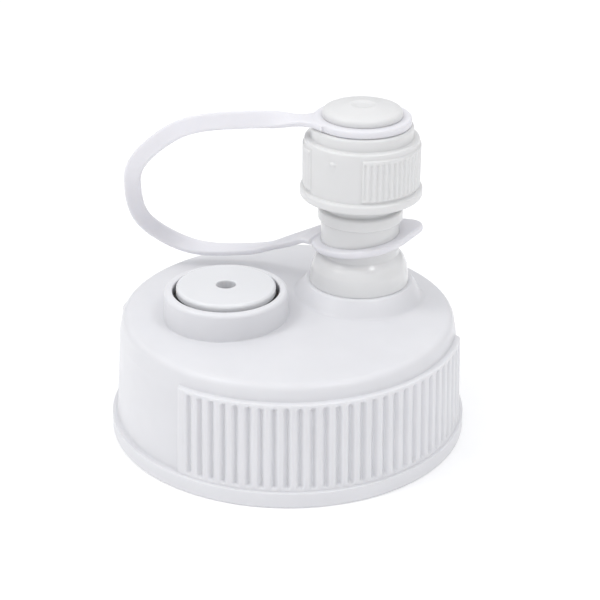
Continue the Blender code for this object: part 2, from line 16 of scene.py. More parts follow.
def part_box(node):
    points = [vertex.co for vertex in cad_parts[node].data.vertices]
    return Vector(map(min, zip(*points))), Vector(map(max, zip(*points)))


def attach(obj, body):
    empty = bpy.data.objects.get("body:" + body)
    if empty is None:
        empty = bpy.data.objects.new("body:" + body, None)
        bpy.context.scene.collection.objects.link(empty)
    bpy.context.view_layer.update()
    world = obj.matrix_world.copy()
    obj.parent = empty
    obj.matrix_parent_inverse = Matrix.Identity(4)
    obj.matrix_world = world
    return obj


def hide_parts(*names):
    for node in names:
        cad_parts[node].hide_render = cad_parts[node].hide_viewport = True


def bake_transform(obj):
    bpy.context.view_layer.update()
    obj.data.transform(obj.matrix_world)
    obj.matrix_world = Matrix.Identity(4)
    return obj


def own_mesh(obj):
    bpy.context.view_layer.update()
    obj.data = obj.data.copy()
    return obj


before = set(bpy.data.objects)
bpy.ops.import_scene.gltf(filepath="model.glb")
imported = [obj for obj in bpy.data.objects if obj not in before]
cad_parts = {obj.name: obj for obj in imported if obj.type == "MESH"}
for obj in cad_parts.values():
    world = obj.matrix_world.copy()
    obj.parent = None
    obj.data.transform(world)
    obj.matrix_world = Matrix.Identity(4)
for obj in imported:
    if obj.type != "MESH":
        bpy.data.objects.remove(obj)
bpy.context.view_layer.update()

MM = 0.001
PI2 = math.tau


def mm_box(node):
    """A CAD node's lowest and highest corners, in millimetres."""
    low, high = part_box(node)
    return [value / MM for value in low], [value / MM for value in high]


def axis_of(node):
    """The upright axis of a round CAD node: x and y of its box's middle, in millimetres."""
    low, high = mm_box(node)
    return (low[0] + high[0]) / 2.0, (low[1] + high[1]) / 2.0


def smooth(low, high, value):
    """0 below low, 1 above high, and an even S-shaped rise between them."""
    t = max(0.0, min(1.0, (value - low) / (high - low)))
    return t * t * (3.0 - 2.0 * t)


# ---------------------------------------------------------------- driving sizes
# In millimetres and degrees. Pairs that end in _LOW and _HIGH are (radius, height) corners of a
# ring's section. Other pairs of heights are where a gradual change starts and ends.

# Axes of the round pieces
MAIN = (0.0, 0.0)
VENT = axis_of("vent_button")
SPOUT = axis_of("spout_cap")

# Main cap: flange, skirt, shoulder and dome, then its inside
FLANGE_RADIUS = mm_box("main_cap")[1][0]
FLANGE_HEIGHT = 3.2
SKIRT_LOW = 33.9
SKIRT_HIGH = 32.9
SHOULDER_START = 20.3
SHOULDER_RADIUS = 32.22
SHOULDER_HEIGHT = 23.92
SHOULDER_FILLET = 2.1
DOME_CENTRE = 25.3
DOME_FALL = 0.00123
DOME_EDGE = 29.72
DOME_RIM = 29.5
DOME_GRID = 1.1
PLATE_GRID = 3.0
FOOT_LEVEL = 25.2
FOOT_FOLLOWS = (25.4, 27.6)
PLATE_MIDDLE = 25.0
PLATE_UNDERSIDE = 22.5
SKIRT_BORE = 30.5
BORE_EDGE = 29.6
BORE_ROW_TOP = 18.25
BORE_ROW_STEP = 0.35
BORE_ROWS = 45
BORE_ROW_END = 2.4
NECK_THREAD = {"root": 30.5, "crest": 29.0, "start": 5.0, "pitch": 6.0, "turns": 1.6, "base": 3.0, "tip": 1.2}

# Main cap: the two raised panels and the grooves cut into them
PANEL_STARTS = (-148.3, 30.3)
PANEL_SPAN = 118.0
PANEL_BORDER = 2.2
RIB_PITCH = 4.0
FIRST_GROOVE = 5.0
PANEL_RADIUS_LOW = 34.45
PANEL_RADIUS_HIGH = 33.93
PANEL_TOP = 20.9
PANEL_MARGIN = 0.5
GROOVE_BOTTOM = 3.5
GROOVE_TOP = 20.45
GROOVE_DEPTH = 0.62
GROOVE_HALF = 0.86
RIB_CROWN = 0.16

# Main cap: collar and guide tube round the vent, boss under the spout
COLLAR_SKIRT = 13.3
COLLAR_FOOT = 12.0
COLLAR_RADIUS = 11.9
COLLAR_BORE = 10.3
COLLAR_TOP = mm_box("main_cap")[1][2]
POCKET_FLOOR = 24.3
GUIDE_RADIUS = 5.6
GUIDE_BORE = 3.65
GUIDE_END = 13.0
GUIDE_SKIRT = 6.8
BOSS_SKIRT = 13.75
BOSS_LOW = 12.8
BOSS_HIGH = 10.5
BOSS_TOP = 28.12
BOSS_BORE = 6.5
BOSS_BORE_SKIRT = 7.4

# Vent: button, wiper, stem with its poppet, valve seal and spring
BUTTON_TOP = mm_box("vent_button")[1][2]
BUTTON_UNDERSIDE = mm_box("vent_button")[0][2]
BUTTON_RADIUS = 9.58
BUTTON_WEB = 29.2
BUTTON_SOCKET = 3.7
BUTTON_HUB = 4.9
BUTTON_RIM_BORE = 7.3
WIPER_GROOVE = 8.4
WIPER_LOW = (8.72, 28.1)
WIPER_HIGH = (10.0, 29.3)
STEM_BORE = 1.86
STEM_RADIUS = 3.4
STEM_TOP = 28.9
STEM_FLOOR = 11.0
STEM_END = 9.0
POPPET_RADIUS = 6.0
POPPET_TOP = 11.2
VALVE_SEAL_LOW = (3.72, 11.5)
VALVE_SEAL_HIGH = (6.0, 12.7)
SPRING_RADIUS = 6.1
SPRING_WIRE = 0.38
SPRING_LAPS = 3.5
SPRING_EVEN = 0.12

# Spout: nozzle, the seal under it, the nut on its spigot, and the can's gasket
NOZZLE_BORE = 4.6
NOZZLE_BASE = 28.14
NOZZLE_BASE_RADIUS = 9.8
NOZZLE_CREASE_RADIUS = 8.7
NOZZLE_SHOULDER = 33.0
NECK_BOTTOM = 34.2
NECK_RADIUS = 7.66
BEAD_RADIUS = 8.25
BEAD_LOW = 41.2
BEAD_HIGH = 43.6
UNDERCUT_RADIUS = 7.3
UNDERCUT_TOP = 45.6
CORE_RADIUS = 6.35
CORE_START = 46.0
NOZZLE_TOP = mm_box("spout_nozzle")[1][2]
SPIGOT_END = mm_box("spout_nozzle")[0][2]
SPIGOT_RADIUS = 6.2
SEAL_GROOVE_INNER = 8.0
SEAL_GROOVE_OUTER = 9.2
SEAL_GROOVE_TOP = 29.6
BASE_SEAL_LOW = (8.18, 28.38)
BASE_SEAL_HIGH = (9.02, 29.22)
NUT_LOW = (6.5, 18.2)
NUT_HIGH = (8.9, 22.2)
NUT_ROUND = 7.5
GASKET_LOW = (24.3, 20.6)
GASKET_HIGH = (29.9, 22.2)
TIP_THREAD = {"root": 6.35, "crest": 7.85, "start": 46.8, "pitch": 3.0, "turns": 2.7, "base": 1.7, "tip": 0.7}

# Small cap with its top groove and knob, its ribbed panels, its pip and its liner
CAP_BOTTOM = mm_box("spout_cap")[0][2]
CAP_FLANGE_RADIUS = 11.85
CAP_FLANGE_TOP = 47.9
CAP_RADIUS = 11.0
CAP_BORE = 8.2
CAP_BORE_MOUTH = 8.6
CAP_FLANGE_INNER = 10.4
CAP_ROW_TOP = 56.3
CAP_ROW_STEP = 0.3
CAP_ROWS = 33
CAP_ROW_END = 46.5
CAP_CEILING = 57.8
CAP_WALL_TOP = 57.9
CAP_TIER_RADIUS = 9.85
CAP_TIER_TOP = 60.28
CAP_GROOVE_RADIUS = 6.4
KNOB_RADIUS = 7.65
KNOB_BOTTOM = 61.93
KNOB_TOP = mm_box("spout_cap")[1][2]
KNOB_CROWN = 6.2
GATE_OUTER = 2.4
GATE_INNER = 1.2
GATE_DEPTH = 0.3
CAP_WALL = (48.25, 56.95)
CAP_WALL_BUSY = (49.0, 56.4)
CAP_PANEL_STARTS = (-113.0, 67.0)
CAP_PANEL_SPAN = 120.0
CAP_PANEL_BORDER = 1.8
CAP_PANEL_FOOT = (48.42, 48.72)
CAP_PANEL_HEAD = (56.5, 56.85)
CAP_PANEL_HEIGHT = 0.35
CAP_RIB_PITCH = 6.0
CAP_RIB_CROWN = 0.05
CAP_FIRST_GROOVE = 3.0
CAP_RIB_BOTTOM = 48.6
CAP_RIB_TOP = 56.2
CAP_RIB_DEPTH = 0.2
CAP_RIB_HALF = 0.5
PIP_DIRECTION = -143.0
PIP_HEIGHT = 55.5
PIP_RISE = 0.3
PIP_SLOPE = (0.12, 0.5)
LINER_RADIUS = 7.7
LINER_LOW = 56.5
LINER_HIGH = 57.5
CAP_THREAD = {"root": 8.2, "crest": 6.9, "start": 48.3, "pitch": 3.0, "turns": 1.9, "base": 1.7, "tip": 0.7}

# Tether: the ring on the neck and its tab, the ring in the small cap's groove, the strap
NECK_RING_HEIGHT = 36.85
NECK_RING_INNER = 7.5
NECK_RING_OUTER = 9.5
NECK_RING_THICKNESS = 1.4
NECK_RING_TILT = 6.5
NECK_RING_LOW_SIDE = 148.0
TAB_DIRECTION = -6.5
TAB_CENTRE = 9.2
TAB_RADIUS = 3.6
CAP_RING_HEIGHT = 61.1
CAP_RING_INNER = 6.9
CAP_RING_OUTER = 9.4
CAP_RING_THICKNESS = 1.6
STRAP_THICKNESS = 1.2
STRAP_WIDTH = 3.4
STRAP_FACING = (-0.3313, -0.8410, 0.4278)
NECK_FLARE = 16.0
CAP_FLARE = 6.0
STRAP_STATIONS = 160
STRAP_ROOT_STEPS = 6
TETHER_VOXEL = 0.16
TETHER_RELAXING = 6
STRAP_ROUTE = (
    (7.5, 7.1, 35.8),
    (3.4, 12.0, 32.6),
    (-0.9, 19.2, 29.0),
    (-11.1, 26.0, 28.4),
    (-20.35, 27.78, 34.7),
    (-23.4, 25.4, 43.5),
    (-23.0, 20.3, 51.2),
    (-16.6, 13.0, 59.0),
    (-6.5, 8.0, 61.0),
    (5.8, 2.8, 61.1),
)


# ---------------------------------------------------------------- light and camera, in metres

LAMP_TARGET = (0.0, 0.0, 0.025)
SKY_AT_HORIZON = 0.33
SKY_OVERHEAD = 1.21
CAMERA_PLACE = (-0.1078, -0.2800, 0.1678)
CAMERA_HEADING = (0.3665, 0.9304, 0.0)
CAMERA_PITCH = 25.33
CAMERA_ROLL = 0.006
CAMERA_LENS = 102.0
CAMERA_SENSOR = 36.0


# ---------------------------------------------------------------- mesh tools

def placed_object(name, data):
    """A new object in the scene around a mesh, a light or a camera."""
    made = bpy.data.objects.new(name, data)
    bpy.context.scene.collection.objects.link(made)
    return made


class Skin:
    """Collects rings of points and the faces between them, in millimetres."""

    def __init__(self):
        self.points = []
        self.faces = []

    def ring(self, points):
        """Adds points and returns their indices."""
        first = len(self.points)
        self.points.extend(points)
        return list(range(first, len(self.points)))

    def bridge(self, one, two):
        """Quads between two rings of equal count, or a zip of triangles between unequal ones."""
        if len(one) == len(two):
            for k in range(len(one)):
                after = (k + 1) % len(one)
                self.faces.append((one[k], one[after], two[after], two[k]))
            return
        many, few = (one, two) if len(one) > len(two) else (two, one)
        step = len(many) // len(few)
        for j in range(len(few)):
            here, there = few[j], few[(j + 1) % len(few)]
            half = step // 2
            run = [many[(j * step + k) % len(many)] for k in range(step + 1)]
            for k in range(step):
                self.faces.append((run[k], run[k + 1], here if k < half else there))
            self.faces.append((here, run[half], there))

    def stack(self, rings):
        for one, two in zip(rings, rings[1:]):
            self.bridge(one, two)

    def close(self, ring):
        """Closes a ring with a fan about its middle."""
        middle = [sum(self.points[k][a] for k in ring) / len(ring) for a in range(3)]
        centre = self.ring([tuple(middle)])[0]
        for k in range(len(ring)):
            self.faces.append((ring[k], ring[(k + 1) % len(ring)], centre))

    def fill(self, outer, holes, height, spacing):
        """Triangles inside a round outer ring and outside round holes, on the surface height(x, y).

        The points between lie on a triangular grid, whose rows are 0.866 of its spacing apart."""
        loops = [outer, *holes]
        flat, edges, owners = [], [], []
        for loop in loops:
            base = len(flat)
            for k, index in enumerate(loop):
                flat.append(Vector(self.points[index][:2]))
                owners.append(index)
                edges.append((base + k, base + (k + 1) % len(loop)))
        circles = []
        for loop in loops:
            middle = sum((Vector(self.points[k][:2]) for k in loop), Vector((0.0, 0.0))) / len(loop)
            circles.append((middle, (Vector(self.points[loop[0]][:2]) - middle).length))
        centre, reach = circles[0]
        margin = 0.6 * spacing
        rows = int(reach / spacing) + 1
        for j in range(-rows, rows + 1):
            for i in range(-rows, rows + 1):
                spot = Vector(((i + 0.5 * (j % 2)) * spacing, j * spacing * 0.866)) + centre
                clear = reach - (spot - centre).length > margin
                for middle, radius in circles[1:]:
                    clear = clear and (spot - middle).length - radius > margin
                if clear:
                    flat.append(spot)
                    owners.append(self.ring([(spot.x, spot.y, height(spot.x, spot.y))])[0])
        _, _, triangles, sources, _, _ = delaunay_2d_cdt(flat, edges, [], 1, 1e-6)
        placed = [owners[source[0]] for source in sources]
        for triangle in triangles:
            spot = sum((Vector(self.points[placed[k]][:2]) for k in triangle), Vector((0.0, 0.0))) / 3.0
            if all((spot - middle).length > radius * 0.999 for middle, radius in circles[1:]):
                self.faces.append(tuple(placed[k] for k in triangle))

    def build(self, name, look, sharp=180.0):
        """Makes the piece in metres, smooth but for edges steeper than sharp degrees."""
        mesh = bpy.data.meshes.new(name)
        mesh.from_pydata([(x * MM, y * MM, z * MM) for x, y, z in self.points], [], self.faces)
        bm = bmesh.new()
        bm.from_mesh(mesh)
        bmesh.ops.remove_doubles(bm, verts=bm.verts, dist=1e-7)
        bmesh.ops.recalc_face_normals(bm, faces=bm.faces)
        bm.to_mesh(mesh)
        bm.free()
        mesh.shade_smooth()
        if sharp < 180.0:
            mesh.set_sharp_from_angle(angle=math.radians(sharp))
        mesh.materials.append(look)
        return placed_object(name, mesh)


def softened(corners, step=1.5, closed=False):
    """A dense outline through corners (radius, height, fillet), with round fillets and supports."""
    count = len(corners)
    arcs = []
    for i, (r, z, fillet) in enumerate(corners):
        here = Vector((r, z))
        inside = closed or 0 < i < count - 1
        if not inside or fillet <= 0.0:
            arcs.append([here])
            continue
        before = Vector(corners[i - 1][:2])
        after = Vector(corners[(i + 1) % count][:2])
        back, ahead = (before - here), (after - here)
        turn = math.pi - back.angle(ahead)
        length = min(fillet * math.tan(turn / 2.0), 0.48 * back.length, 0.48 * ahead.length)
        start, end = here + back.normalized() * length, here + ahead.normalized() * length
        weight = math.cos(turn / 2.0)
        points = max(2, math.ceil(turn / math.radians(10.0)))
        arc = []
        for k in range(points + 1):
            s = k / points
            parts = ((1 - s) ** 2, 2 * s * (1 - s) * weight, s ** 2)
            arc.append((start * parts[0] + here * parts[1] + end * parts[2]) / sum(parts))
        arcs.append(arc)
    outline = []
    last = count if closed else count - 1
    for i in range(last):
        outline.extend(arcs[i])
        start, end = arcs[i][-1], arcs[(i + 1) % count][0]
        run = end - start
        marks = []
        if run.length > 0.3:
            marks = [0.07 / run.length, 1.0 - 0.07 / run.length]
            pieces = math.ceil(run.length / step)
            marks += [k / pieces for k in range(1, pieces)]
        outline.extend(start + run * mark for mark in sorted(marks))
    if not closed:
        outline.extend(arcs[-1])
    return [(point.x, point.y) for point in outline]


def circle(count, radius, height, centre, shape=None, lift=None):
    """One ring of points; shape(angle, radius, height) gives the radius where it isn't round."""
    points = []
    for k in range(count):
        angle = PI2 * k / count
        reach = shape(angle, radius, height) if shape else radius
        x, y = centre[0] + reach * math.cos(angle), centre[1] + reach * math.sin(angle)
        points.append((x, y, height + (lift(x, y, height) if lift else 0.0)))
    return points


def turned(name, corners, centre, look, count=192, shape=None, step=1.5, sharp=180.0):
    """A closed turned piece; corners are a closed loop, or run from axis to axis."""
    skin = Skin()
    on_axis = corners[0][0] == 0.0
    outline = softened(corners, step, closed=not on_axis)
    if on_axis:
        outline = outline[1:-1]
    rings = [skin.ring(circle(count, r, z, centre, shape)) for r, z in outline]
    skin.stack(rings)
    if on_axis:
        skin.close(rings[0])
        skin.close(rings[-1])
    else:
        skin.bridge(rings[-1], rings[0])
    return skin.build(name, look, sharp)


def block(low, high, fillets):
    """The four corners of a ring's rectangular section, from its inner foot round to its inner top."""
    corners = (low, (high[0], low[1]), high, (low[0], high[1]))
    return [(r, z, fillet) for (r, z), fillet in zip(corners, fillets)]


def ridge(thread, angle, height):
    """How far, from 0 to 1, a helical ridge stands at this angle and height."""
    share = angle / PI2
    along = (height - thread["start"]) / thread["pitch"] - share
    lap = round(along)
    turns = share + lap
    if not 0.0 <= turns <= thread["turns"]:
        return 0.0
    off = abs(along - lap) * thread["pitch"]
    flank = 1.0 - smooth(thread["tip"] / 2.0, thread["base"] / 2.0, off)
    return flank * smooth(0.0, 0.16, min(turns, thread["turns"] - turns))


def threaded(thread, angle, radius, height):
    """The radius of a plain wall with a helical ridge on it."""
    return radius + (thread["crest"] - thread["root"]) * ridge(thread, angle, height)


def in_panel(angle, starts, span, border):
    """0 outside a ribbed panel, rising to 1 over its rounded border; also the degrees from its start."""
    for start in starts:
        along = (math.degrees(angle) - start) % 360.0
        if along < span:
            share = min(1.0, min(along, span - along) / border)
            return math.sqrt(share * (2.0 - share)), along
    return 0.0, 0.0


def off_groove(along, first, pitch, span):
    """Degrees to the nearest groove's middle, or None on a panel's plain border."""
    if not first - pitch / 2.0 <= along <= span - first + pitch / 2.0:
        return None
    return abs((along - first + pitch / 2.0) % pitch - pitch / 2.0)


def arc_points(centre, radius, start, end, count):
    """Points along an arc, angles in degrees from the outward direction."""
    turns = [math.radians(start + (end - start) * k / (count - 1)) for k in range(count)]
    return [(centre[0] + radius * math.cos(t), centre[1] + radius * math.sin(t)) for t in turns]


def heights(low, high, busy, reach=1.1, small=0.14, large=1.6):
    """Heights from low to high, close together within reach of each busy height."""
    height, found = low, []
    while height < high - small:
        found.append(height)
        if any(abs(height - spot) <= reach for spot in busy):
            height += small
        else:
            ahead = [spot - reach - height for spot in busy if spot - reach > height]
            height += min([large, *ahead]) + 1e-4
    return [*found, high]


def groove(arc, height, half, depth, low, high):
    """Depth of one upright groove with round ends, at arc mm from its middle line."""
    off = math.hypot(arc, max(low + half - height, 0.0, height - high + half))
    return depth * 0.5 * (1.0 + math.cos(math.pi * off / half)) if off < half else 0.0


# ---------------------------------------------------------------- main cap

def dome(x, y):
    """Height of the main cap's top, which falls away from its middle."""
    return DOME_CENTRE - DOME_FALL * (x * x + y * y)


def on_dome(x, y, height):
    """Lets the foot of a collar or boss follow the dome, and leaves its top level."""
    return (dome(x, y) - FOOT_LEVEL) * (1.0 - smooth(*FOOT_FOLLOWS, height))


def skirt(height):
    """Radius of the smooth wall, which leans in a little more above the shoulder's start."""
    if height > SHOULDER_START:
        share = (height - SHOULDER_START) / (SHOULDER_HEIGHT - SHOULDER_START)
        return SKIRT_HIGH + (SHOULDER_RADIUS - SKIRT_HIGH) * share
    share = (height - FLANGE_HEIGHT) / (SHOULDER_START - FLANGE_HEIGHT)
    return SKIRT_LOW + (SKIRT_HIGH - SKIRT_LOW) * share


def skirt_rows():
    """Pairs of outline points from the rim to the shoulder: the smooth wall's and the panel's."""
    rim = softened([(FLANGE_RADIUS - 1.2, 0.0, 0.0), (FLANGE_RADIUS, 0.0, 0.45),
                    (FLANGE_RADIUS, FLANGE_HEIGHT, 0.4), (FLANGE_RADIUS - 0.4, FLANGE_HEIGHT, 0.0)])[:-1]
    rows = [(point, point) for point in rim]
    wall = arc_points((SKIRT_LOW + 0.5, FLANGE_HEIGHT + 0.5), 0.5, 270.0, 180.0, 7)
    panel = arc_points((PANEL_RADIUS_LOW + 0.15, FLANGE_HEIGHT + 0.15), 0.15, 270.0, 180.0, 7)
    rows += list(zip(wall, panel))
    low, high = FLANGE_HEIGHT + 0.25, PANEL_TOP - PANEL_MARGIN
    for height in heights(low, high, (GROOVE_BOTTOM, GROOVE_TOP)):
        share = (height - low) / (high - low)
        level = low + 0.35 + (high - low - 0.35) * share
        rows.append(((skirt(level), level),
                     (PANEL_RADIUS_LOW + (PANEL_RADIUS_HIGH - PANEL_RADIUS_LOW) * share, height)))
    last = PANEL_TOP + PANEL_MARGIN
    head = softened([(PANEL_RADIUS_HIGH, high + 0.06, 0.0), (PANEL_RADIUS_HIGH, PANEL_TOP, 0.4),
                     (skirt(PANEL_TOP) + 0.02, PANEL_TOP, 0.25), (skirt(last), last, 0.0)], step=0.4)
    for k, point in enumerate(head):
        level = high + 0.06 + (last - high - 0.06) * k / (len(head) - 1)
        rows.append(((skirt(level), level), point))
    rounded = softened([(skirt(last), last, 0.0), (SHOULDER_RADIUS, SHOULDER_HEIGHT, SHOULDER_FILLET),
                        (DOME_EDGE, dome(DOME_EDGE, 0.0), 0.0)], step=0.4)
    return rows + [(point, point) for point in rounded[1:-1]]


def build_main_cap(look):
    """One closed skin: threaded bore, flange, wall with its panels, dome, collar, guide tube and boss."""
    skin = Skin()
    around = 1440
    bore = softened([(BORE_EDGE, PLATE_UNDERSIDE, 0.0), (SKIRT_BORE, PLATE_UNDERSIDE, 0.6),
                     (SKIRT_BORE, BORE_ROW_TOP + BORE_ROW_STEP, 0.0)])
    bore += [(SKIRT_BORE, BORE_ROW_TOP - BORE_ROW_STEP * k) for k in range(BORE_ROWS)]
    bore += softened([(SKIRT_BORE, BORE_ROW_END, 0.0), (SKIRT_BORE, 0.0, 0.5),
                      (FLANGE_RADIUS - 1.6, 0.0, 0.0)])

    def inside_shape(angle, radius, height):
        if abs(radius - SKIRT_BORE) > 0.01:
            return radius
        return threaded(NECK_THREAD, angle, radius, height)

    rings = [skin.ring(circle(around // 3, r, z, MAIN, inside_shape)) for r, z in bore]
    underside = rings[0]
    panels = []
    for k in range(around):
        inside, along = in_panel(PI2 * k / around, PANEL_STARTS, PANEL_SPAN, PANEL_BORDER)
        panels.append((inside, off_groove(along, FIRST_GROOVE, RIB_PITCH, PANEL_SPAN)))
    for wall, panel in skirt_rows():
        points = []
        for k, (inside, off) in enumerate(panels):
            radius, height = panel
            if wall != panel and off is not None and height < PANEL_TOP - 0.1:
                arc = math.radians(off) * radius
                radius -= groove(arc, height, GROOVE_HALF, GROOVE_DEPTH, GROOVE_BOTTOM, GROOVE_TOP)
                rounding = smooth(GROOVE_BOTTOM, GROOVE_BOTTOM + 1.0, height)
                rounding *= 1.0 - smooth(GROOVE_TOP - 0.6, GROOVE_TOP + 0.2, height)
                radius -= RIB_CROWN * rounding * (1.0 - 2.0 * off / RIB_PITCH) ** 2
            radius = wall[0] + (radius - wall[0]) * inside
            height = wall[1] + (height - wall[1]) * inside
            angle = PI2 * k / around
            points.append((radius * math.cos(angle), radius * math.sin(angle), height))
        rings.append(skin.ring(points))
    for radius, count in ((DOME_EDGE, around // 3), (DOME_RIM, around // 6)):
        rings.append(skin.ring(circle(count, radius, dome(radius, 0.0), MAIN)))
    skin.stack(rings)

    def tower(centre, count, corners):
        """A collar or boss, from its foot on the dome through its bore to the plate's underside."""
        own = []
        for r, z in softened(corners, step=1.0):
            lift = on_dome if z > PLATE_MIDDLE else None
            own.append(skin.ring(circle(count, r, z, centre, lift=lift)))
        skin.stack(own)
        return own[0], own[-1]

    vent_foot, guide_root = tower(VENT, 192, [
        (COLLAR_SKIRT, FOOT_LEVEL, 0.0), (COLLAR_FOOT, FOOT_LEVEL, 0.15), (COLLAR_RADIUS, COLLAR_TOP, 0.75),
        (COLLAR_BORE, COLLAR_TOP, 0.28), (COLLAR_BORE, POCKET_FLOOR, 0.3), (GUIDE_BORE, POCKET_FLOOR, 0.3),
        (GUIDE_BORE, GUIDE_END, 0.2), (GUIDE_RADIUS, GUIDE_END, 0.3), (GUIDE_RADIUS, PLATE_UNDERSIDE, 0.6),
        (GUIDE_SKIRT, PLATE_UNDERSIDE, 0.0)])
    boss_foot, boss_root = tower(SPOUT, 192, [
        (BOSS_SKIRT, FOOT_LEVEL, 0.0), (BOSS_LOW, FOOT_LEVEL, 0.9), (BOSS_HIGH, BOSS_TOP, 0.45),
        (BOSS_BORE, BOSS_TOP, 0.3), (BOSS_BORE, PLATE_UNDERSIDE, 0.2),
        (BOSS_BORE_SKIRT, PLATE_UNDERSIDE, 0.0)])
    skin.fill(rings[-1], [vent_foot, boss_foot], dome, DOME_GRID)
    skin.fill(underside, [guide_root, boss_root], lambda x, y: PLATE_UNDERSIDE, PLATE_GRID)
    cap = skin.build("cap_moulding", look)
    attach(cap, "closure")
    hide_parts("main_cap")


# ---------------------------------------------------------------- vent

def build_vent(white, glossy, rubber, steel):
    """The push button with its wiper, the hollow stem with its poppet, the valve seal and the spring."""
    top, low = BUTTON_TOP, BUTTON_UNDERSIDE
    foot, groove_low, groove_high = low + 0.2, low + 0.8, low + 2.6
    button = turned("vent_push_button", [
        (STEM_BORE, top, 0.25), (STEM_BORE, BUTTON_WEB, 0.1), (BUTTON_SOCKET, BUTTON_WEB, 0.1),
        (BUTTON_SOCKET, foot, 0.15), (BUTTON_HUB, foot, 0.15), (BUTTON_HUB, BUTTON_WEB, 0.3),
        (BUTTON_RIM_BORE, BUTTON_WEB, 0.3), (BUTTON_RIM_BORE, low, 0.15), (BUTTON_RADIUS, low, 0.15),
        (BUTTON_RADIUS, groove_low, 0.1), (WIPER_GROOVE, groove_low, 0.1), (WIPER_GROOVE, groove_high, 0.1),
        (BUTTON_RADIUS, groove_high, 0.15), (BUTTON_RADIUS, top - 0.1, 0.65),
    ], VENT, glossy)
    wiper = turned("vent_wiper", block(WIPER_LOW, WIPER_HIGH, (0.25, 0.35, 0.35, 0.25)), VENT, rubber)
    stem = turned("vent_plunger", [
        (0.0, STEM_FLOOR, 0.0), (STEM_BORE, STEM_FLOOR, 0.2), (STEM_BORE, STEM_TOP, 0.2),
        (STEM_RADIUS, STEM_TOP, 0.3), (STEM_RADIUS, POPPET_TOP, 0.2), (POPPET_RADIUS, POPPET_TOP, 0.3),
        (POPPET_RADIUS, STEM_END, 0.4), (0.0, STEM_END, 0.0)], VENT, white, count=96)
    seal = turned("vent_seat_seal", block(VALVE_SEAL_LOW, VALVE_SEAL_HIGH, (0.2, 0.35, 0.35, 0.2)),
                  VENT, rubber, count=96)
    for piece, node, slot in ((button, "vent_button", "white_polypropylene"),
                              (wiper, "vent_wiper_ring", "black_rubber"),
                              (stem, "vent_stem", "white_polypropylene"),
                              (seal, "vent_valve_seal", "black_rubber")):
        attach(piece, "vent")
        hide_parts(node)
    build_spring(steel)


def build_spring(steel):
    """A short coil of round wire that runs nearly level at both ends."""
    low, high = mm_box("vent_spring")[0][2], mm_box("vent_spring")[1][2]
    steps, sides = 72, 14
    skin = Skin()
    count = int(SPRING_LAPS * steps)
    rings = []
    for k in range(count + 1):
        angle, share = PI2 * k / steps, k / count
        climb = SPRING_EVEN * share + (1.0 - SPRING_EVEN) * smooth(0.0, 1.0, share)
        level = low + SPRING_WIRE + (high - low - 2.0 * SPRING_WIRE) * climb
        ring = []
        for j in range(sides):
            turn = PI2 * j / sides
            reach = SPRING_RADIUS + SPRING_WIRE * math.cos(turn)
            ring.append((VENT[0] + reach * math.cos(angle), VENT[1] + reach * math.sin(angle),
                         level + SPRING_WIRE * math.sin(turn)))
        rings.append(skin.ring(ring))
    skin.stack(rings)
    skin.close(rings[0])
    skin.close(rings[-1])
    spring = skin.build("vent_coil", steel, sharp=50.0)
    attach(spring, "closure")
    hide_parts("vent_spring")
    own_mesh(spring)


# ---------------------------------------------------------------- spout

